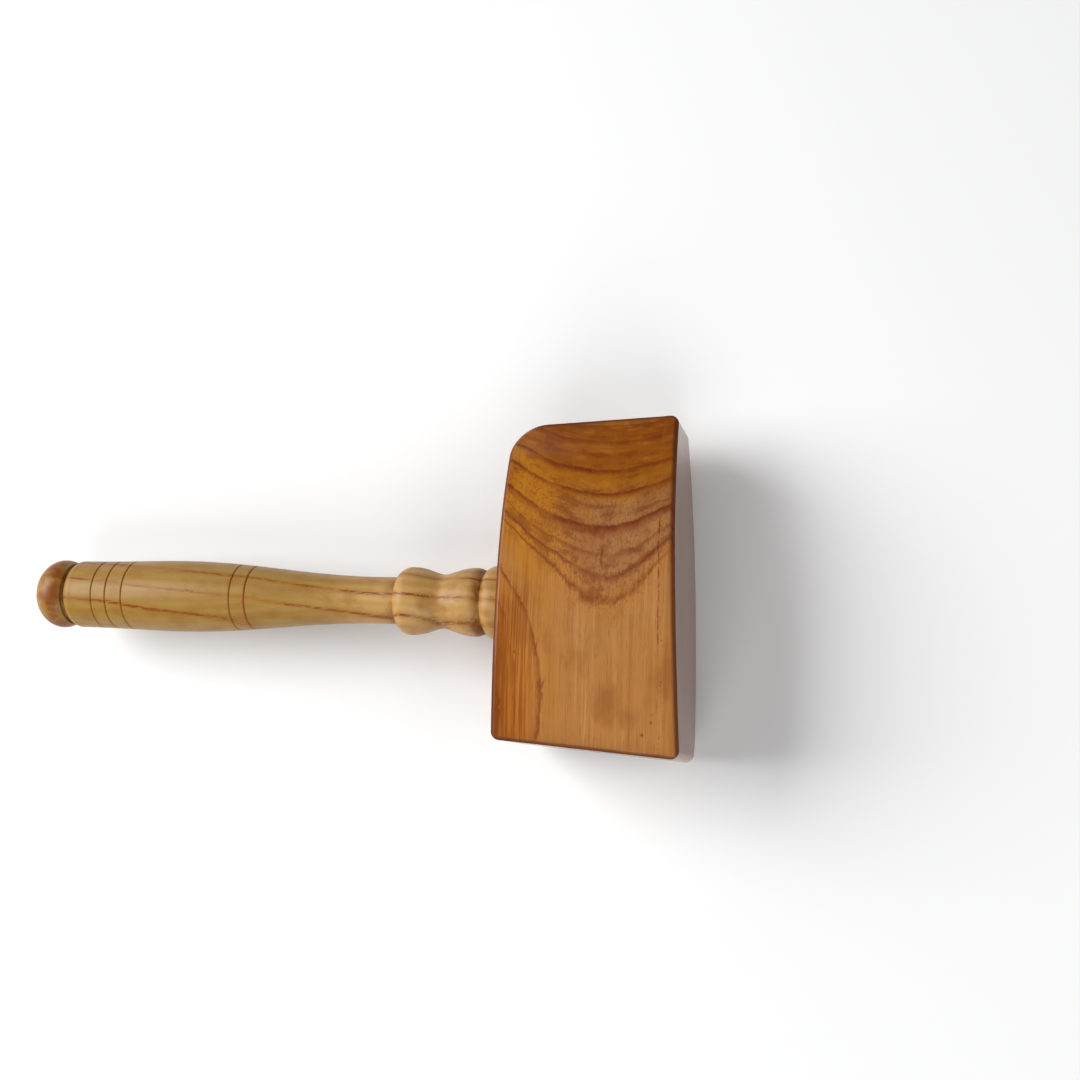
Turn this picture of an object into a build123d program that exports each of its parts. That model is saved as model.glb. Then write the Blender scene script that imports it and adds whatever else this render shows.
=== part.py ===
from build123d import *
from math import cos, pi
import os

# Small carpenter's mallet: a figured hardwood head on a turned handle.
# The mallet lies on the rear cheek of its head.
# X: the striking axis, from one striking face to the other.
# Y: along the handle, from the pommel to the top of the head.
# Z: up, out of the front cheek.
# The pieces are drawn around the joint: the handle's axis is x = 0, z = 0, and
# the head's lower face is y = 0. At the end they move so that the origin is the
# middle of the bounding box's lower face.
# All sizes are in millimetres.

# ---------------------------------------------------------------- head
HEAD_HEIGHT = 73.7           # lower face to top face, at the head's middle
TOP_LEAN = 3.4               # the top face is this much lower at -X, and higher at +X
LOWER_LENGTH = 133.0         # between the striking faces, at the lower face
TOP_LENGTH = 142.6           # the same at the top face
HEAD_SHIFT = -7.3            # head's middle from the handle's axis
CROWN = 31.8                 # handle's axis to the crown of either cheek
FRONT_DROP = (16.5, 6.5)     # front crown to the cheek's ends, -X and +X
REAR_DROP = (17.5, 10.0)     # rear crown to the cheek's ends, -X and +X
STOCK_EXTRA = 3.0            # at either end, the stock is this much longer than the top face
REAR_CORNER_ROUNDS = (12.0, 18.0)  # the stock's corners at the rear cheek, -X and +X
HEEL_ROUND = 16.0            # the well-worn lower corner at the -X end
CORNER_ROUND = 3.4           # the other three corners, seen from the front
FRONT_EDGE_ROUND = 2.0       # all around the front cheek
REAR_EDGE_ROUND = 3.0        # all around the rear cheek

# ---------------------------------------------------------------- handle
HANDLE_REACH = 231.5         # pommel's end to the head's lower face
POMMEL_RADIUS = 15.8
POMMEL_HALF_LENGTH = 12.0
PALM_RADIUS = 16.2           # the grip where it is thickest
PALM_PLACE = -157.5
GRIP_END_RADIUS = 15.4       # the grip next to the pommel
GRIP_END = -204.0
LIP_START = -208.0           # where the grip starts to round over to the pommel
NECK_RADIUS = 10.3           # the slim neck
NECK_PLACE = -62.0
NECK_END = -51.9             # where the neck meets the first bead
BEAD_RADIUS = 14.9           # both beads of the baluster
BEAD_PLACES = (-45.8, -17.4)
WAIST_RADIUS = 11.8          # between the beads
WAIST_PLACE = -32.0
GROOVE_RADIUS = 13.2         # between the second bead and the collar
GROOVE_PLACE = -12.4
COLLAR_RADIUS = 16.0         # the bead under the head
SEAT_RADIUS = 15.0           # where the collar meets the head
BURNT_RINGS = (-120.9, -128.0, -181.4, -189.7, -197.0)  # rings scribed in the grip
RING_WIDTH = 0.9
RING_DEPTH = 0.5

# ---------------------------------------------------------------- joint
TENON_RADIUS = 12.5
TENON_LENGTH = 58.0
GLUE_LINE = 0.1              # gap between tenon and bore
BORE_EXTRA = 1.5             # the bore is this much deeper than the tenon
KERF_HALF = 0.8              # half of the saw cut in the tenon
KERF_ROOT = 24.0
FLARE_START = 28.0           # from here the wedge spreads the tenon
SPREAD = 1.4                 # each half of the tenon, sideways at its end
WEDGE_START = 30.0           # the wedge's thin edge
WEDGE_WIDTH = 22.0


def cheek(side_z, drop):
    """A cheek in plan: two arcs, level at the crown, that run on past the head's ends."""
    half = TOP_LENGTH / 2
    arcs = []
    for side_x, fall in zip((-1, 1), drop):
        radius = (half ** 2 + fall ** 2) / (2 * fall)
        end, middle = [
            (HEAD_SHIFT + side_x * reach, side_z * (CROWN - radius + (radius ** 2 - reach ** 2) ** 0.5))
            for reach in (half + STOCK_EXTRA, half / 2)
        ]
        arcs.append(ThreePointArc(end, middle, (HEAD_SHIFT, side_z * CROWN)))
    return arcs


def stock():
    """The barrel-shaped stock, with its two rear corners rounded."""
    front = cheek(1, FRONT_DROP)
    rear = cheek(-1, REAR_DROP)
    ends = [Line(front[i] @ 0, rear[i] @ 0) for i in (0, 1)]
    plan = make_face([*front, *rear, *ends])
    for arc, radius in zip(rear, REAR_CORNER_ROUNDS):
        corner = plan.vertices().sort_by_distance(arc @ 0)[0]
        plan = fillet(corner, radius)
    return extrude(Plane.XZ * plan, -(HEAD_HEIGHT + 2 * TOP_LEAN))


def front_outline():
    """The head from the front: leaning striking faces, leaning top and a worn heel at -X."""
    low, top = LOWER_LENGTH / 2, TOP_LENGTH / 2
    heel = (HEAD_SHIFT - low, 0)
    outline = make_face(Polyline(
        heel,
        (HEAD_SHIFT + low, 0),
        (HEAD_SHIFT + top, HEAD_HEIGHT + TOP_LEAN),
        (HEAD_SHIFT - top, HEAD_HEIGHT - TOP_LEAN),
        close=True,
    ))
    corners = outline.vertices().sort_by_distance(heel)
    outline = fillet(corners[1:], CORNER_ROUND)
    return fillet(outline.vertices().sort_by_distance(heel)[0], HEEL_ROUND)


def rim(edge, side_z):
    """Whether an edge runs around the front (1) or the rear (-1) cheek."""
    return edge.center().Z * side_z > 10 and edge.geom_type != GeomType.LINE


def head_block():
    """The stock sawn to its outline, and rounded all around both cheeks."""
    block = stock() & extrude(front_outline(), CROWN, both=True)
    block = fillet([edge for edge in block.edges() if rim(edge, 1)], FRONT_EDGE_ROUND)
    return fillet([edge for edge in block.edges() if rim(edge, -1)], REAR_EDGE_ROUND)


def bore():
    """The blind bore for the tenon, undercut towards +X and -X past FLARE_START."""
    radius = TENON_RADIUS + GLUE_LINE
    depth = TENON_LENGTH + BORE_EXTRA
    slope = SPREAD / (TENON_LENGTH - FLARE_START)
    mouth = Plane.XZ * Circle(radius)
    straight = extrude(mouth, -FLARE_START)
    start = Pos(0, FLARE_START, 0) * mouth
    flares = [
        loft([start, Pos(side * slope * (depth - FLARE_START), depth, 0) * mouth])
        for side in (-1, 1)
    ]
    return straight + flares[0] + flares[1]


def ease(y, start, stop):
    """Share of a smooth change between two (y, radius) places: level at both of them."""
    share = (y - start[0]) / (stop[0] - start[0])
    return start[1] + (stop[1] - start[1]) * (1 - cos(pi * share)) / 2


def grip_radius(y):
    """The grip: slim at the neck, full in the palm and a little slimmer at its end."""
    if y > PALM_PLACE:
        return ease(y, (NECK_PLACE, NECK_RADIUS), (PALM_PLACE, PALM_RADIUS))
    if y > GRIP_END:
        return ease(y, (PALM_PLACE, PALM_RADIUS), (GRIP_END, GRIP_END_RADIUS))
    return GRIP_END_RADIUS


def handle_profile():
    """Half of the handle's outline as (radius, y), from the pommel's end to the tenon's root."""
    pommel_middle = -HANDLE_REACH + POMMEL_HALF_LENGTH
    pommel = EllipticalCenterArc(
        (0, pommel_middle), POMMEL_RADIUS, POMMEL_HALF_LENGTH, start_angle=-90, arc_size=117
    )
    cove = ThreePointArc(pommel @ 1, (12.4, -213.9), (12.6, -212.8))
    lip = ThreePointArc(cove @ 1, (14.6, -211.3), (GRIP_END_RADIUS, LIP_START))
    stations = [LIP_START, GRIP_END, -190, -174, PALM_PLACE, -142, -126, -110, -94, -78, NECK_PLACE]
    grip = Spline(
        *[(grip_radius(y), y) for y in stations], tangents=[(0, 1), (0, 1)]
    )
    neck = Line(grip @ 1, (NECK_RADIUS, NECK_END))
    first, second = BEAD_PLACES
    shoulder = Line(neck @ 1, (NECK_RADIUS + 1.8, NECK_END + 0.2))
    bead = ThreePointArc(shoulder @ 1, (BEAD_RADIUS - 0.7, first - 3.6), (BEAD_RADIUS, first))
    waist = Spline(
        (BEAD_RADIUS, first),
        (WAIST_RADIUS, WAIST_PLACE),
        (BEAD_RADIUS, second),
        tangents=[(0, 1), (0, 1)],
    )
    roll = ThreePointArc(waist @ 1, (BEAD_RADIUS - 0.6, second + 3.2), (GROOVE_RADIUS, GROOVE_PLACE))
    collar = Spline(
        (GROOVE_RADIUS, GROOVE_PLACE),
        (COLLAR_RADIUS - 0.6, GROOVE_PLACE + 2.6),
        (COLLAR_RADIUS, -6.0),
        (SEAT_RADIUS, 0),
    )
    seat = Line(collar @ 1, (0, 0))
    axis = Line((0, 0), (0, -HANDLE_REACH))
    return make_face([pommel, cove, lip, grip, neck, shoulder, bead, waist, roll, collar, seat, axis])


def burnt_ring(y):
    """A V cut around the grip."""
    radius = grip_radius(y)
    slope = RING_WIDTH / (2 * RING_DEPTH)
    over = 0.4
    half = slope * (RING_DEPTH + over)
    section = Polyline(
        (radius - RING_DEPTH, y),
        (radius + over, y - half),
        (radius + over, y + half),
        close=True,
    )
    return revolve(make_face(section), Axis.Y)


def tenon_half(side):
    """One half of the slotted tenon, which leans outwards past FLARE_START."""
    disc = Plane.XZ * Circle(TENON_RADIUS)
    middle = side * (KERF_HALF + TENON_RADIUS)
    keep = Plane.XZ * Pos(middle, 0) * Rectangle(2 * TENON_RADIUS, 3 * TENON_RADIUS)
    section = disc & keep
    straight = extrude(Pos(0, KERF_ROOT, 0) * section, -(FLARE_START - KERF_ROOT))
    leaning = loft([Pos(0, FLARE_START, 0) * section, Pos(side * SPREAD, TENON_LENGTH, 0) * section])
    return straight + leaning


def make_head():
    return head_block() - bore()


def make_handle():
    turning = revolve(handle_profile(), Axis.Y)
    for y in BURNT_RINGS:
        turning -= burnt_ring(y)
    root = extrude(Plane.XZ * Circle(TENON_RADIUS), -KERF_ROOT)
    return turning + root + tenon_half(-1) + tenon_half(1)


def make_wedge():
    """Fills the kerf between the leaning halves of the tenon."""
    slope = SPREAD / (TENON_LENGTH - FLARE_START)
    thin = KERF_HALF + slope * (WEDGE_START - FLARE_START)
    thick = KERF_HALF + SPREAD
    outline = Polyline(
        (-thin, WEDGE_START),
        (thin, WEDGE_START),
        (thick, TENON_LENGTH),
        (-thick, TENON_LENGTH),
        close=True,
    )
    return extrude(make_face(outline), WEDGE_WIDTH / 2, both=True)


pieces = {"head": make_head(), "handle": make_handle(), "fox_wedge": make_wedge()}
box = pieces["head"].bounding_box().add(pieces["handle"].bounding_box())
to_origin = Pos(-box.center().X, -box.center().Y, -box.min.Z)
os.makedirs("parts", exist_ok=True)
for name, piece in pieces.items():
    export_step(to_origin * piece, f"parts/{name}.step")
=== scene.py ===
from math import radians

import bpy
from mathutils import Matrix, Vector


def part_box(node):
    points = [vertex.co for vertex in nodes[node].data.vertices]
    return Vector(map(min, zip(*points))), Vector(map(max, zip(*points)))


# A small wooden mallet that lies on the rear cheek of its head, seen from above.
# Row frame in metres: Y runs along the handle towards the head, X is the striking axis and Z is up.
# Materials work in millimetres around the joint: the handle's axis at the head's lower face.

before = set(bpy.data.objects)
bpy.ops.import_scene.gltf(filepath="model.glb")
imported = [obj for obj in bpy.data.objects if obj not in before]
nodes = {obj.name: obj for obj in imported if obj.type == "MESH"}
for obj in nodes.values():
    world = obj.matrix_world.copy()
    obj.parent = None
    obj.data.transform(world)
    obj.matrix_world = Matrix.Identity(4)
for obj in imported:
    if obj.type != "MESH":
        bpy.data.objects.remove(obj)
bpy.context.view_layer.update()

MM = 0.001
HANDLE_REACH = 231.5            # pommel's end to the head's lower face
handle_low, handle_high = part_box("handle")
JOINT = Vector((
    (handle_low.x + handle_high.x) / 2,
    handle_low.y + HANDLE_REACH * MM,
    (handle_low.z + handle_high.z) / 2,
))


# ------------------------------------------------------------------ node helpers
def linear(rgb):
    """A colour given as 0-255 sRGB, as linear RGBA."""
    parts = []
    for value in rgb:
        share = value / 255
        parts.append(share / 12.92 if share <= 0.04045 else ((share + 0.055) / 1.055) ** 2.4)
    return (*parts, 1.0)


class Material:
    """A node material and short ways to add nodes to it."""

    def __init__(self, name):
        self.material = bpy.data.materials.new(name)
        self.material.use_nodes = True
        self.tree = self.material.node_tree
        self.tree.nodes.clear()
        self.output = self.add("ShaderNodeOutputMaterial")
        self.shader = self.add("ShaderNodeBsdfPrincipled")
        self.join(self.shader.outputs["BSDF"], self.output.inputs["Surface"])
        coordinates = self.add("ShaderNodeTexCoord")
        mapping = self.add("ShaderNodeMapping")
        mapping.inputs["Location"].default_value = -JOINT / MM
        mapping.inputs["Scale"].default_value = (1 / MM, 1 / MM, 1 / MM)
        self.join(coordinates.outputs["Object"], mapping.inputs["Vector"])
        self.place = mapping.outputs["Vector"]

    def add(self, kind):
        return self.tree.nodes.new(kind)

    def join(self, source, target):
        self.tree.links.new(source, target)

    def feed(self, socket, value):
        """Link a node's output, or set a constant on the socket."""
        if isinstance(value, bpy.types.NodeSocket):
            self.join(value, socket)
        else:
            socket.default_value = value

    def math(self, operation, *values):
        node = self.add("ShaderNodeMath")
        node.operation = operation
        for socket, value in zip(node.inputs, values):
            self.feed(socket, value)
        return node.outputs[0]

    def product(self, first, *others):
        for other in others:
            first = self.math("MULTIPLY", first, other)
        return first

    def line(self, value, rise, start):
        """value * rise + start."""
        return self.math("ADD", self.math("MULTIPLY", value, rise), start)

    def vector(self, operation, *values):
        node = self.add("ShaderNodeVectorMath")
        node.operation = operation
        for socket, value in zip(node.inputs, values):
            self.feed(socket, value)
        return node.outputs[0]

    def parts(self, vector):
        node = self.add("ShaderNodeSeparateXYZ")
        self.join(vector, node.inputs[0])
        return node.outputs

    def combined(self, x, y, z):
        node = self.add("ShaderNodeCombineXYZ")
        for socket, value in zip(node.inputs, (x, y, z)):
            self.join(value, socket)
        return node.outputs[0]

    def stretched(self, place, sizes):
        """The place measured in grains of the given sizes along X, Y and Z, in millimetres."""
        return self.vector("MULTIPLY", place, tuple(1 / size for size in sizes))

    def noise(self, place, sizes, detail=3.0, rough=0.5, shift=0.0, colour=False):
        node = self.add("ShaderNodeTexNoise")
        node.noise_dimensions = "3D"
        scaled = self.stretched(place, sizes)
        self.join(self.vector("ADD", scaled, (shift, shift, shift)), node.inputs["Vector"])
        node.inputs["Scale"].default_value = 1.0
        node.inputs["Detail"].default_value = detail
        node.inputs["Roughness"].default_value = rough
        return node.outputs["Color"] if colour else node.outputs["Fac"]

    def warp(self, place, sizes, amounts, detail=2.0, shift=0.0):
        """The place pushed about by up to half of the amounts, in millimetres."""
        field = self.noise(place, sizes, detail, shift=shift, colour=True)
        push = self.vector("SUBTRACT", field, (0.5, 0.5, 0.5))
        return self.vector("ADD", place, self.vector("MULTIPLY", push, amounts))

    def step(self, value, low, high):
        """0 below low, 1 above high and smooth between them. Falls instead if low is above high."""
        node = self.add("ShaderNodeMapRange")
        node.interpolation_type = "SMOOTHSTEP"
        rises = low < high
        for name, setting in (
            ("Value", value),
            ("From Min", low if rises else high),
            ("From Max", high if rises else low),
            ("To Min", 0.0 if rises else 1.0),
            ("To Max", 1.0 if rises else 0.0),
        ):
            self.feed(node.inputs[name], setting)
        return node.outputs["Result"]

    def bump_at(self, value, middle, half, soft):
        """1 where value is within half of middle, and 0 past a soft rim."""
        distance = self.math("ABSOLUTE", self.math("SUBTRACT", value, middle))
        return self.step(distance, half + soft, half)

    def ramp(self, value, stops, low, high):
        """Colours or grey values at places between low and high."""
        node = self.add("ShaderNodeValToRGB")
        share = self.math("DIVIDE", self.math("SUBTRACT", value, low), high - low)
        self.join(share, node.inputs["Fac"])
        elements = node.color_ramp.elements
        while len(elements) > 1:
            elements.remove(elements[-1])
        for index, (place, colour) in enumerate(stops):
            position = (place - low) / (high - low)
            element = elements[0] if index == 0 else elements.new(position)
            element.position = position
            element.color = colour if isinstance(colour, tuple) else (colour, colour, colour, 1.0)
        return node.outputs["Color"]

    def blend(self, share, first, second):
        node = self.add("ShaderNodeMix")
        node.data_type = "RGBA"
        node.clamp_factor = True
        self.feed(node.inputs[0], share)
        self.feed(node.inputs[6], first)
        self.feed(node.inputs[7], second)
        return node.outputs[2]

    def tint(self, colour, share, strength, rgb):
        """The colour, tinted by up to the strength where the share is 1."""
        return self.blend(self.product(share, strength), colour, linear(rgb))

    def stain(self, colour, value, stain, area=1.0):
        """The colour, tinted as value goes from the stain's first number to its second."""
        low, high, strength, rgb = stain
        return self.tint(colour, self.product(self.step(value, low, high), area), strength, rgb)

    def bump(self, height, distance, strength):
        """A normal for a height, with the distance in millimetres."""
        node = self.add("ShaderNodeBump")
        node.inputs["Distance"].default_value = distance * MM
        node.inputs["Strength"].default_value = strength
        self.join(height, node.inputs["Height"])
        return node.outputs["Normal"]

    def finish(self, **settings):
        for name, value in settings.items():
            self.feed(self.shader.inputs[name.replace("_", " ")], value)
        return self.material


# ------------------------------------------------------------------ head
# The growth layers lie around the pith, far below the front cheek.
PITH_DEPTH = 108.2              # below the handle's axis
PITH_Y = 43.0
PITH_TILT = 0.134               # the pith rises towards -X
DRIFT, DRIFT_FROM_X = 0.22, -15.0       # the pith drifts towards +Y from this x on
DRIFT_FADE = (34.0, 50.0)       # the drift sets in between these y
LAYER_BENDS = [                 # sizes and amounts along X, Y and Z, detail and shift
    ((45, 30, 30), (6, 6, 1.0), 1.0, 3.0),
    ((13, 6, 6), (3.4, 2.0, 0.3), 3.0, 11.0),
]
LAYER_FUZZ = 0.45
FIRST_LAYER, LAST_LAYER = 8.0, 40.0     # past the last layer, the first one follows again
OUTER_CAP = 35.2                # the outermost layer on the upper part of the head
CAP_RISE, CAP_FADE = 10.0, (46.0, 38.0)     # the cap rises as y falls from one to the other
# Colour of the wood from the inner growth layers to the outer ones.
HEAD_LAYERS = [
    (8.0, (124, 60, 2)),
    (12.5, (142, 78, 4)),
    (16.5, (134, 70, 2)),
    (19.5, (148, 86, 6)),
    (24.0, (158, 98, 28)),
    (27.5, (160, 100, 40)),
    (30.0, (168, 108, 46)),
    (31.6, (172, 112, 50)),
    (33.0, (167, 114, 62)),
    (34.8, (167, 112, 57)),
    (36.3, (172, 112, 48)),
    (38.4, (170, 104, 32)),
    (40.0, (142, 78, 8)),
]
# Dark growth lines: layer, strength, and how far they fade to the inside and to the outside.
HEAD_LINES = [
    (12.3, 0.75, 0.45, 1.2),
    (15.4, 0.25, 0.5, 0.9),
    (18.3, 0.95, 0.35, 1.0),
    (22.3, 1.0, 0.3, 0.9),
    (26.7, 1.0, 0.25, 1.3),
    (29.3, 0.6, 0.15, 0.5),
    (30.7, 0.85, 0.14, 0.45),
    (31.95, 0.9, 0.3, 0.12),
    (36.0, 0.85, 0.12, 0.45),
    (38.2, 0.5, 0.2, 0.6),
]
LINE_COLOUR = (100, 28, 2)
LINE_STEADY = 0.55              # the share of its strength that a growth line keeps everywhere
LINE_STRETCHES = (0.3, 0.6)
# Mauve heartwood, and golden wood near the handle: middle layer, half width and soft rim in
# layers, where it sets in along Y, strength and colour.
LAYER_TINTS = [
    (27.5, 3.2, 1.6, (18.0, 44.0), 0.7, (150, 104, 66)),
    (27.0, 6.0, 3.0, (34.0, 10.0), 0.75, (176, 110, 12)),
]
FLECKED_LAYERS = (26.5, 4.5, 2.5)       # middle, half width and soft rim
FLECK_CURL = ((2.5, 2.5, 2.5), (2.0, 2.0, 2.0))     # sizes and amounts
STREAK_SQUEEZE = 8.0            # streaks are this much thinner across the growth layers
STREAKED_LAYERS, STREAK_INSIDE, STREAK_OUTSIDE = (33.2, 31.6), 0.8, 0.12
OUTER_LAYERS = (30.5, 32.5)     # past these lies the plain outer wood
LOW_PART_Y, LOW_PART_X = (21.0, 13.0), (-16.0, 8.0)     # where the low bands set in
# Noise fields: sizes along X, Y and Z in millimetres, detail, roughness and shift.
HEAD_FIELDS = {
    "fuzz": ((4.0, 0.9, 0.9), 2.0, 0.5, 0.0),
    "streaks": ((14.0, 12.0, 11.0), 4.0, 0.6, 21.0),
    "stretch": ((14.0, 9.0, 9.0), 2.0, 0.5, 31.0),
    "fleck": ((1.3, 0.7, 0.7), 2.0, 0.5, 7.0),
    "fibre": ((34.0, 0.5, 0.5), 4.0, 0.6, 5.0),
    "band": ((70.0, 2.4, 2.4), 3.0, 0.55, 15.0),
    "vessel": ((7.0, 0.32, 0.32), 2.0, 0.5, 19.0),
    "cloud": ((30.0, 16.0, 16.0), 3.0, 0.55, 37.0),
    "low_band": ((60.0, 1.1, 1.1), 3.0, 0.55, 43.0),
    "wobble": ((7.0, 7.0, 7.0), 2.0, 0.5, 9.0),
    "crack": ((4.0, 1.0, 1.0), 2.0, 0.5, 12.0),
    "speck": ((0.9, 0.6, 0.6), 1.0, 0.5, 17.0),
    "smudge": ((20.0, 14.0, 14.0), 3.0, 0.6, 27.0),
}
# Stains, and the darker edges: where they set in, where they are full, strength and colour.
HEAD_TINTS = {
    "dark_streak": (0.48, 0.64, 0.62, (108, 46, 4)),
    "pale_streak": (0.46, 0.3, 0.3, (186, 126, 44)),
    "fleck": (0.5, 0.66, 0.55, (112, 60, 26)),
    "fibre": (0.5, 0.72, 0.35, (132, 70, 18)),
    "vessel": (0.6, 0.74, 0.5, (112, 54, 12)),
    "dark_band": (0.52, 0.7, 0.35, (146, 80, 20)),
    "pale_band": (0.46, 0.3, 0.3, (196, 144, 88)),
    "cloud": (0.48, 0.7, 0.4, (118, 60, 12)),
    "low_band": (0.46, 0.56, 0.62, (126, 58, 4)),
    "crack": (0.35, 0.55, 0.8, (92, 24, 6)),
    "speck": (0.66, 0.74, 0.85, (70, 26, 8)),
    # The last two darken the top, the lower face, the ends and a band along their edges.
    "edge": (1.9, 0.5, 0.62, (104, 52, 14)),
    "border": (7.0, 1.0, 0.16, (104, 52, 14)),
}
# Shape of the head, as in the CAD part.
HEAD_MIDDLE = -7.3
TOP_LENGTH = 142.6
TOP_HEIGHT, TOP_SLOPE = 73.7, 3.4 / 71.3
LOWER_HALF, END_SLOPE = 66.5, 4.8 / 73.7
CROWN = 31.8                    # crown of the front cheek above the handle's axis
CHEEK_DROP = (16.5, 6.5)        # from the crown to the cheek's ends, -X and +X
# Marks on the front cheek.
FRONT = (14.0, 20.0)            # the marks fade out as z falls from one to the other
CRACK_X = ((-35.0, -30.0), (28.0, 12.0))    # where the long check sets in, at either end
CRACK_Y, CRACK_SLOPE, CRACK_WOBBLE = 67.6, 0.03, 1.6
CRACK_HALF, CRACK_SOFT = 0.1, 0.35
CRACK_SPECKS, CRACK_SPECKS_X = (0.6, 0.8, 1.2), (-22.0, 0.0)    # off the check, and along it
SHORT_CHECK_X, SHORT_CHECK_Y = (-15.5, 2.5, 2.0), (44.0, 0.1, 0.6)
SHORT_CHECK_STRENGTH, SHORT_CHECK_COLOUR = 0.6, (112, 30, 8)
SPECKS = [(50.0, 66.0, 0.7), (47.0, 66.4, 0.4), (55.0, 62.5, 0.9), (24.0, 9.5, 0.6)]    # x, y, size
SPECK_STRENGTH, SPECK_COLOUR = 0.6, (84, 46, 8)
SPECK_WARP = ((1.2, 1.2, 1.2), (0.9, 0.9, 0.0))
# Rim of the front cheek: duller varnish, and painted shade that darkens the rounded edge.
RIM_INSET = (2.4, 0.5)
RIM_DEPTH = (3.2, 1.8)          # below the cheek
RIM_SHADE_STRENGTH, RIM_SHADE_COLOUR = 0.5, (84, 36, 4)
EDGE_WANDER = 1.2


def growth_layers(m):
    """The growth layer at each place, and its calm form with the bent x and y for the streaks."""
    bent = m.place
    for bend in LAYER_BENDS:
        bent = m.warp(bent, *bend)
    x, y, z = m.parts(bent)
    past = m.math("MAXIMUM", m.math("SUBTRACT", x, DRIFT_FROM_X), 0.0)
    drift = m.product(past, DRIFT, m.step(y, *DRIFT_FADE))
    across = m.math("SUBTRACT", m.math("SUBTRACT", y, PITH_Y), drift)
    up = m.math("ADD", z, PITH_DEPTH)
    radius = m.math("SQRT", m.math("ADD", m.product(across, across), m.product(up, up)))
    calm = m.math("ADD", m.math("SUBTRACT", radius, PITH_DEPTH), m.product(x, PITH_TILT))
    fuzz = m.math("SUBTRACT", m.noise(m.place, *HEAD_FIELDS["fuzz"]), 0.5)
    layer = m.math("ADD", calm, m.product(fuzz, LAYER_FUZZ))
    cap = m.line(m.step(m.parts(m.place)[1], *CAP_FADE), CAP_RISE, OUTER_CAP)
    layer = m.math("WRAP", m.math("MINIMUM", layer, cap), LAST_LAYER, FIRST_LAYER)
    return layer, (m.product(calm, STREAK_SQUEEZE), y, x)


def line_stops():
    """Stops of a grey ramp with a peak at each growth line, at most 32 in all."""
    stops = []
    for place, strength, inside, outside in HEAD_LINES:
        start = max(place - inside, stops[-1][0]) if stops else place - inside
        stops += [(start, 0.0), (place, strength), (place + outside, 0.0)]
    return stops


def head_figure(m, layer, streak_place):
    """Colour from the growth layers, with streaks along them and dark growth lines."""
    y = m.parts(m.place)[1]
    layer_stops = [(place, linear(rgb)) for place, rgb in HEAD_LAYERS]
    colour = m.ramp(layer, layer_stops, FIRST_LAYER, LAST_LAYER)
    for middle, half, soft, along_y, strength, rgb in LAYER_TINTS:
        area = m.product(m.bump_at(layer, middle, half, soft), m.step(y, *along_y))
        colour = m.tint(colour, area, strength, rgb)

    streaks = m.noise(m.combined(*streak_place), *HEAD_FIELDS["streaks"])
    inner = m.line(m.step(layer, *STREAKED_LAYERS), STREAK_INSIDE, STREAK_OUTSIDE)
    colour = m.stain(colour, streaks, HEAD_TINTS["dark_streak"], inner)
    colour = m.stain(colour, streaks, HEAD_TINTS["pale_streak"], inner)

    # Growth lines, stronger in some stretches than in others.
    lines = m.ramp(layer, line_stops(), FIRST_LAYER, LAST_LAYER)
    stretch = m.step(m.noise(m.place, *HEAD_FIELDS["stretch"]), *LINE_STRETCHES)
    return m.tint(colour, lines, m.line(stretch, 1 - LINE_STEADY, LINE_STEADY), LINE_COLOUR)


def level_place(m):
    """The place, with z measured up from the curve of the cheek: the fibres follow it."""
    x, y, z = m.parts(m.place)
    share = m.math("DIVIDE", m.math("SUBTRACT", x, HEAD_MIDDLE), TOP_LENGTH / 2)
    left, right = CHEEK_DROP
    drop = m.line(m.math("GREATER_THAN", share, 0.0), right - left, left)
    level_z = m.math("ADD", z, m.product(drop, m.product(share, share)))
    return m.combined(x, y, level_z), level_z


def head_fibres(m, colour, layer, level):
    """Curly flecks in the heart, fibres, bands and clouds. Also gives three of the fields."""
    x, y, _ = m.parts(m.place)
    fleck = m.noise(m.warp(m.place, *FLECK_CURL, shift=4.0), *HEAD_FIELDS["fleck"])
    fibre, band, vessel, low_band = [
        m.noise(level, *HEAD_FIELDS[name]) for name in ("fibre", "band", "vessel", "low_band")
    ]
    cloud = m.noise(m.place, *HEAD_FIELDS["cloud"])
    low_part = m.product(m.step(y, *LOW_PART_Y), m.step(x, *LOW_PART_X))
    for name, field, area in (
        ("fleck", fleck, m.bump_at(layer, *FLECKED_LAYERS)),
        ("fibre", fibre, 1.0),
        ("vessel", vessel, 1.0),
        ("dark_band", band, 1.0),
        ("pale_band", band, m.step(layer, *OUTER_LAYERS)),
        ("cloud", cloud, 1.0),
        ("low_band", low_band, low_part),
    ):
        colour = m.stain(colour, field, HEAD_TINTS[name], area)
    return colour, fibre, band, cloud


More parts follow.
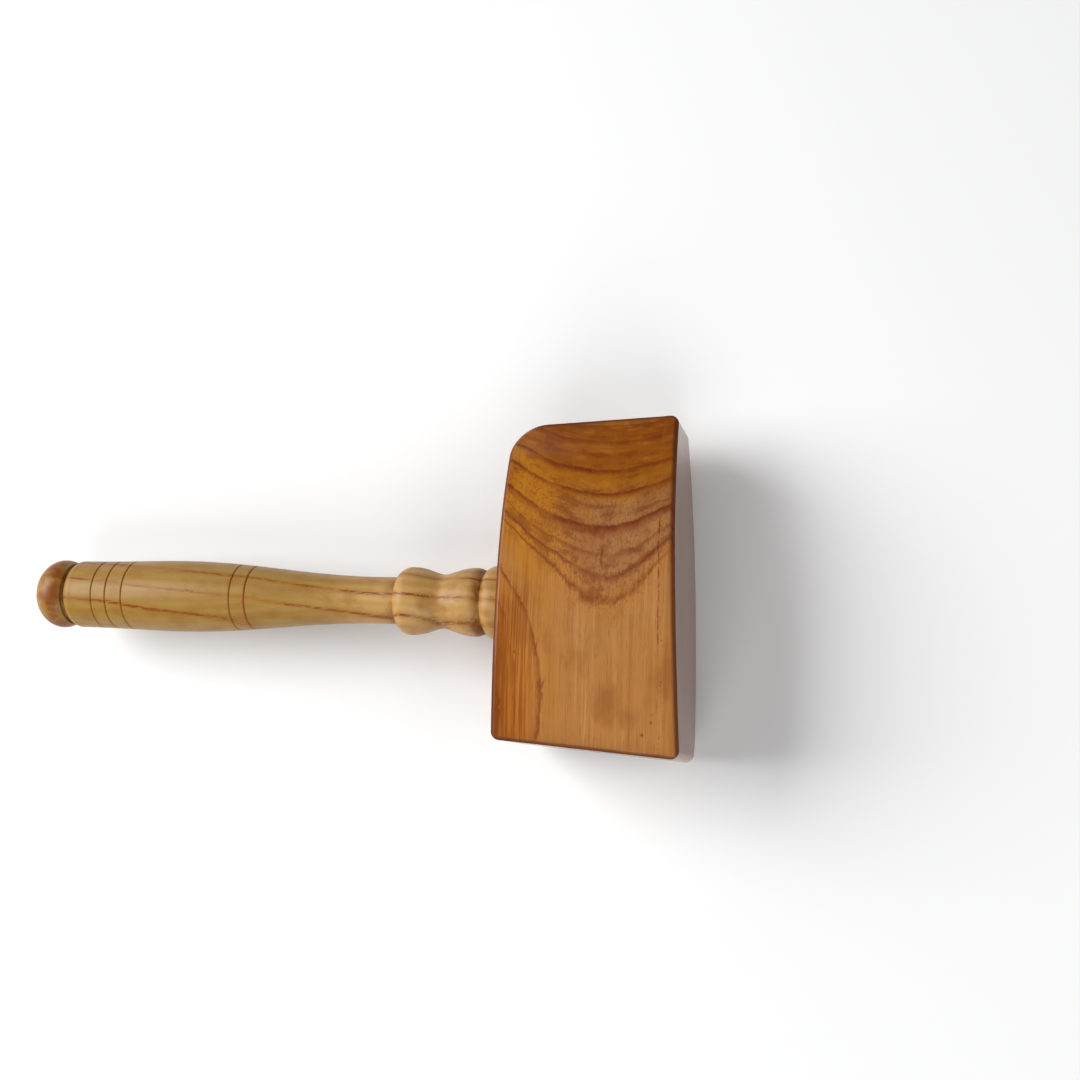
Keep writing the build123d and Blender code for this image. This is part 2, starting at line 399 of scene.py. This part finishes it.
def head_marks(m, colour):
    """A long and a short closed check, and dark specks, all on the front cheek."""
    x, y, z = m.parts(m.place)
    front = m.step(z, *FRONT)
    wobble = m.math("SUBTRACT", m.noise(m.place, *HEAD_FIELDS["wobble"]), 0.5)
    wobble = m.product(wobble, CRACK_WOBBLE)
    off_line = m.math("SUBTRACT", m.math("SUBTRACT", y, m.line(x, CRACK_SLOPE, CRACK_Y)), wobble)
    start, end = CRACK_X
    along = m.product(m.step(x, *start), m.step(x, *end), front)
    crack = m.product(m.bump_at(off_line, 0.0, CRACK_HALF, CRACK_SOFT), along)
    colour = m.stain(colour, m.noise(m.place, *HEAD_FIELDS["crack"]), HEAD_TINTS["crack"], crack)

    off_short = m.math("SUBTRACT", y, wobble)
    short = m.product(m.bump_at(off_short, *SHORT_CHECK_Y), m.bump_at(x, *SHORT_CHECK_X), front)
    colour = m.tint(colour, short, SHORT_CHECK_STRENGTH, SHORT_CHECK_COLOUR)

    for speck_x, speck_y, size in SPECKS:
        away = m.vector("SUBTRACT", m.place, (speck_x, speck_y, 0.0))
        away_x, away_y, _ = m.parts(m.warp(away, *SPECK_WARP))
        square = m.math("ADD", m.product(away_x, away_x), m.product(away_y, away_y))
        dot = m.product(m.step(square, size ** 2, 0.1 * size ** 2), front)
        colour = m.tint(colour, dot, SPECK_STRENGTH, SPECK_COLOUR)
    area = m.product(m.bump_at(off_line, *CRACK_SPECKS), m.step(x, *CRACK_SPECKS_X), front)
    return m.stain(colour, m.noise(m.place, *HEAD_FIELDS["speck"]), HEAD_TINTS["speck"], area)


def head_inset(m, cloud):
    """How far a place lies inside the nearest of the top, the lower face and the two ends."""
    x, y, _ = m.parts(m.place)
    reach = m.math("SUBTRACT", x, HEAD_MIDDLE)
    below_top = m.math("SUBTRACT", m.line(reach, TOP_SLOPE, TOP_HEIGHT), y)
    inside_end = m.math("SUBTRACT", m.line(y, END_SLOPE, LOWER_HALF), m.math("ABSOLUTE", reach))
    inset = m.math("MINIMUM", m.math("MINIMUM", below_top, inside_end), y)
    return m.math("ADD", inset, m.product(m.math("SUBTRACT", cloud, 0.5), EDGE_WANDER))


def head_wood():
    m = Material("head_varnished_hardwood")
    layer, streak_place = growth_layers(m)
    colour = head_figure(m, layer, streak_place)
    level, level_z = level_place(m)
    colour, fibre, band, cloud = head_fibres(m, colour, layer, level)
    colour = head_marks(m, colour)

    # Darker on the top, the lower face and the ends, and in a band along their edges on the cheeks.
    inset = head_inset(m, cloud)
    for name in ("edge", "border"):
        colour = m.stain(colour, inset, HEAD_TINTS[name])
    # The rounded rim of the front cheek is painted darker: painted shade on the edge.
    rim_z = m.step(level_z, *(CROWN - depth for depth in RIM_DEPTH))
    rim = m.product(m.step(inset, *RIM_INSET), rim_z)
    colour = m.tint(colour, rim, RIM_SHADE_STRENGTH, RIM_SHADE_COLOUR)

    # The varnish is worn and duller on the rim.
    smudge = m.noise(m.place, *HEAD_FIELDS["smudge"])
    height = m.math("ADD", m.product(fibre, 0.6), m.product(band, 0.4))
    return m.finish(
        Base_Color=colour,
        Roughness=m.math("ADD", m.line(fibre, 0.2, 0.4), m.product(rim, 0.4)),
        Specular_IOR_Level=0.08,
        Coat_Weight=m.line(rim, -0.75, 0.9),
        Coat_IOR=1.42,
        Coat_Roughness=m.math("ADD", m.line(smudge, 0.16, 0.05), m.product(rim, 0.6)),
        Normal=m.bump(height, 0.05, 0.4),
    )


# ------------------------------------------------------------------ handle
LINE_SPACING = 9.6              # between the growth lines
LINE_SLOPE_Y, LINE_SLOPE_Z = 0.082, 0.22
LINE_START = 403.0
HANDLE_BENDS = [                # sizes and amounts along X, Y and Z, detail and shift
    ((26, 90, 26), (5, 0, 5), 2.0, 6.0),
    ((6, 12, 6), (0.9, 0, 0.9), 2.0, 8.0),
]
BEAD_FADE = (-100.0, -52.0)     # from the grip's darker wood to the paler beads
EARLY_WOOD = ((157, 124, 58), (187, 148, 88))       # at the grip and at the beads
DULL_WOOD = ((148, 113, 49), (178, 137, 78))
DULL_BANDS = (0.35, 0.68)
PORE_ROW = (0.8, 0.3)           # distance from a growth line
PORE_DASHES = (0.42, 0.49)
PORE_GAPS, PORES_STEADY = (0.36, 0.56), 0.25
SIDES, SIDE_PORES = (1.35, 1.0), 0.25       # angle from the top in radians
PORE_STRENGTH, PORE_COLOUR = 0.95, (116, 56, 4)
# Patches and colour of the darkening in the hollows, which is partly dirt and partly painted shade.
DIRT_AND_SHADE_PATCHES, DIRT_AND_SHADE_RISE, DIRT_AND_SHADE_LEAST = (0.38, 0.6), 0.85, 0.3
DIRT_AND_SHADE_COLOUR = (124, 66, 6)
# Varnish and dirt gathered in the hollows, with painted shade in the cove by the pommel and where the
# handle meets the head: place along the handle and strength.
HANDLE_DIRT_AND_SHADE = [
    (-231.5, 0.6), (-225.0, 0.6), (-220.5, 0.85), (-217.0, 0.95), (-213.6, 0.45), (-212.2, 0.15),
    (-208.0, 0.1), (-170.0, 0.1), (-90.0, 0.08), (-56.0, 0.12), (-52.0, 0.5), (-50.0, 0.1),
    (-42.0, 0.06), (-32.0, 0.2), (-22.0, 0.12), (-17.0, 0.25), (-15.0, 0.85), (-11.8, 0.85),
    (-10.2, 0.15), (-2.0, 0.1), (0.0, 0.6),
]
# Burnt rings: place along the handle and strength.
BURNT_RINGS = [(-197.0, 0.1), (-189.7, 0.5), (-181.4, 0.85), (-128.0, 1.0), (-120.9, 1.0)]
RING_HALF, RING_SOFT = 0.36, 0.15
RING_STRENGTH, RING_COLOUR = 0.9, (158, 74, 22)
# Noise fields and stains, as for the head.
HANDLE_FIELDS = {
    "fibre": ((0.45, 22.0, 0.45), 4.0, 0.6, 2.0),
    "band": ((3.0, 60.0, 3.0), 3.0, 0.5, 14.0),
    "dash": ((0.45, 4.5, 0.45), 2.0, 0.5, 18.0),
    "gaps": ((12.0, 26.0, 12.0), 1.0, 0.5, 33.0),
    "blotch": ((7.0, 10.0, 7.0), 4.0, 0.62, 24.0),
}
HANDLE_STAINS = {
    "fibre": (0.5, 0.75, 0.25, (142, 102, 46)),
    "amber": (0.28, 0.5, 0.26, (156, 104, 34)),
    "halo": (2.2, 0.2, 0.45, (156, 98, 20)),
    "blotch": (0.48, 0.7, 0.42, (140, 92, 24)),
}


def growth_lines(m):
    """Where a place lies between two growth lines, and how far from the nearest one.

    The first goes from 0 to 1, with a line in the middle. The second is in millimetres.
    """
    bent = m.place
    for bend in HANDLE_BENDS:
        bent = m.warp(bent, *bend)
    x, y, z = m.parts(bent)
    layer = m.math("SUBTRACT", x, m.product(y, LINE_SLOPE_Y))
    layer = m.math("ADD", layer, m.product(z, LINE_SLOPE_Z))
    share = m.math("FRACT", m.math("DIVIDE", m.math("ADD", layer, LINE_START), LINE_SPACING))
    near = m.math("ABSOLUTE", m.line(share, LINE_SPACING, -LINE_SPACING / 2))
    return share, near


def open_pores(m, near):
    """Dashes of open pores along the growth lines, few where the layers lie along the surface."""
    x, _, z = m.parts(m.place)
    dash = m.step(m.noise(m.place, *HANDLE_FIELDS["dash"]), *PORE_DASHES)
    gaps = m.step(m.noise(m.place, *HANDLE_FIELDS["gaps"]), *PORE_GAPS)
    sideways = m.math("ABSOLUTE", m.math("ARCTAN2", x, m.math("ABSOLUTE", z)))
    return m.product(
        m.step(near, *PORE_ROW),
        dash,
        m.line(gaps, 1 - PORES_STEADY, PORES_STEADY),
        m.line(m.step(sideways, *SIDES), 1 - SIDE_PORES, SIDE_PORES),
    )


def ring_stops():
    """Stops of a grey ramp with a flat peak at each burnt ring."""
    stops = []
    for place, strength in BURNT_RINGS:
        low, high = place - RING_HALF, place + RING_HALF
        stops += [
            (low - RING_SOFT, 0.0),
            (low + RING_SOFT, strength),
            (high - RING_SOFT, strength),
            (high + RING_SOFT, 0.0),
        ]
    return stops


def handle_wood():
    m = Material("handle_varnished_ash")
    y = m.parts(m.place)[1]
    fibre, band, blotch = [
        m.noise(m.place, *HANDLE_FIELDS[name]) for name in ("fibre", "band", "blotch")
    ]
    bead = m.step(y, *BEAD_FADE)
    early, dull = [
        m.blend(bead, linear(grip), linear(beads)) for grip, beads in (EARLY_WOOD, DULL_WOOD)
    ]
    colour = m.blend(m.step(band, *DULL_BANDS), early, dull)
    colour = m.stain(colour, fibre, HANDLE_STAINS["fibre"])

    # Amber wood half-way between the growth lines and close to them, and pores on the lines.
    share, near = growth_lines(m)
    off_line = m.math("ABSOLUTE", m.math("SUBTRACT", share, 0.5))
    colour = m.stain(colour, off_line, HANDLE_STAINS["amber"])
    colour = m.stain(colour, near, HANDLE_STAINS["halo"])
    pores = open_pores(m, near)
    colour = m.tint(colour, pores, PORE_STRENGTH, PORE_COLOUR)

    # Blotches, and dirt in the hollows with painted shade in the cove by the pommel and where the
    # handle meets the head.
    colour = m.stain(colour, blotch, HANDLE_STAINS["blotch"])
    dirt_and_shade = m.ramp(y, HANDLE_DIRT_AND_SHADE, -HANDLE_REACH, 0.0)
    patches = m.line(m.step(blotch, *DIRT_AND_SHADE_PATCHES), DIRT_AND_SHADE_RISE, DIRT_AND_SHADE_LEAST)
    colour = m.blend(m.product(dirt_and_shade, patches), colour, linear(DIRT_AND_SHADE_COLOUR))

    rings = m.ramp(y, ring_stops(), -HANDLE_REACH, 0.0)
    colour = m.tint(colour, rings, RING_STRENGTH, RING_COLOUR)
    height = m.math("SUBTRACT", m.product(fibre, 0.5), m.product(pores, 0.7))
    return m.finish(
        Base_Color=colour,
        Roughness=m.line(fibre, 0.2, 0.4),
        Specular_IOR_Level=0.1,
        Coat_Weight=0.36,
        Coat_Roughness=m.line(blotch, 0.2, 0.27),
        Normal=m.bump(height, 0.06, 0.6),
        Coat_Normal=m.bump(height, 0.02, 0.3),
    )


# ------------------------------------------------------------------ wedge
WEDGE_FIBRE = ((0.4, 9.0, 0.4), 4.0, 0.6, 8.0)
WEDGE_PALE, WEDGE_DARK = (160, 116, 70), (112, 70, 34)


def wedge_wood():
    m = Material("wedge_bare_hardwood")
    fibre = m.noise(m.place, *WEDGE_FIBRE)
    colour = m.blend(fibre, linear(WEDGE_PALE), linear(WEDGE_DARK))
    return m.finish(Base_Color=colour, Roughness=0.8, Normal=m.bump(fibre, 0.08, 0.8))


for node, material in (("head", head_wood()), ("handle", handle_wood()), ("fox_wedge", wedge_wood())):
    nodes[node].data.materials.clear()
    nodes[node].data.materials.append(material)


# ------------------------------------------------------------------ floor, light and camera
FLOOR_SIZE = 12.0               # in metres
FLOOR_GREY = 0.84
# Square area lights that face the mallet: name, place and size in metres, power in watts.
LIGHTS = [
    ("key", (-0.3, -1.4, 1.25), 1.4, 50.0),
    ("fill_right", (1.5, 0.2, 1.3), 1.4, 19.0),
    ("fill_top", (0.2, 1.7, 1.1), 1.4, 12.0),
    ("fill_left", (-1.6, -1.0, 0.8), 1.2, 3.0),
]
AIR_COLOUR, AIR_STRENGTH = (0.9, 0.95, 1.0, 1.0), 0.06
CAMERA_PLACE = Vector((76.22, 160.10, 563.91))      # from the joint, in millimetres
CAMERA_TURN = (10.914, 14.369, 93.227)              # in degrees
CAMERA_LENS, CAMERA_SENSOR = 45.72, 36.0            # in millimetres
CAMERA_NEAR = 0.01              # nothing nearer is seen, in metres


def floor():
    bpy.ops.mesh.primitive_plane_add(size=FLOOR_SIZE, location=(0, 0, 0))
    plane = bpy.context.object
    plane.name = "floor"
    m = Material("floor_pale")
    grey = (FLOOR_GREY, FLOOR_GREY, FLOOR_GREY, 1.0)
    plane.data.materials.append(m.finish(Base_Color=grey, Roughness=0.9, Specular_IOR_Level=0.1))


def soft_light(name, place, size, power):
    """An area light that faces the middle of the mallet."""
    data = bpy.data.lights.new(name, "AREA")
    data.shape = "SQUARE"
    data.size = size
    data.energy = power
    lamp = bpy.data.objects.new(name, data)
    bpy.context.scene.collection.objects.link(lamp)
    lamp.location = place
    lamp.rotation_mode = "QUATERNION"
    lamp.rotation_quaternion = (-Vector(place)).to_track_quat("-Z", "Y")


def studio_air():
    world = bpy.data.worlds.new("studio")
    world.use_nodes = True
    background = world.node_tree.nodes["Background"]
    background.inputs["Color"].default_value = AIR_COLOUR
    background.inputs["Strength"].default_value = AIR_STRENGTH
    bpy.context.scene.world = world


def camera():
    data = bpy.data.cameras.new("camera")
    data.lens = CAMERA_LENS
    data.sensor_width = CAMERA_SENSOR
    data.clip_start = CAMERA_NEAR
    view = bpy.data.objects.new("camera", data)
    bpy.context.scene.collection.objects.link(view)
    view.location = JOINT + CAMERA_PLACE * MM
    view.rotation_euler = [radians(turn) for turn in CAMERA_TURN]
    bpy.context.scene.camera = view


floor()
for light in LIGHTS:
    soft_light(*light)
studio_air()
camera()
bpy.context.scene.view_settings.view_transform = "Standard"
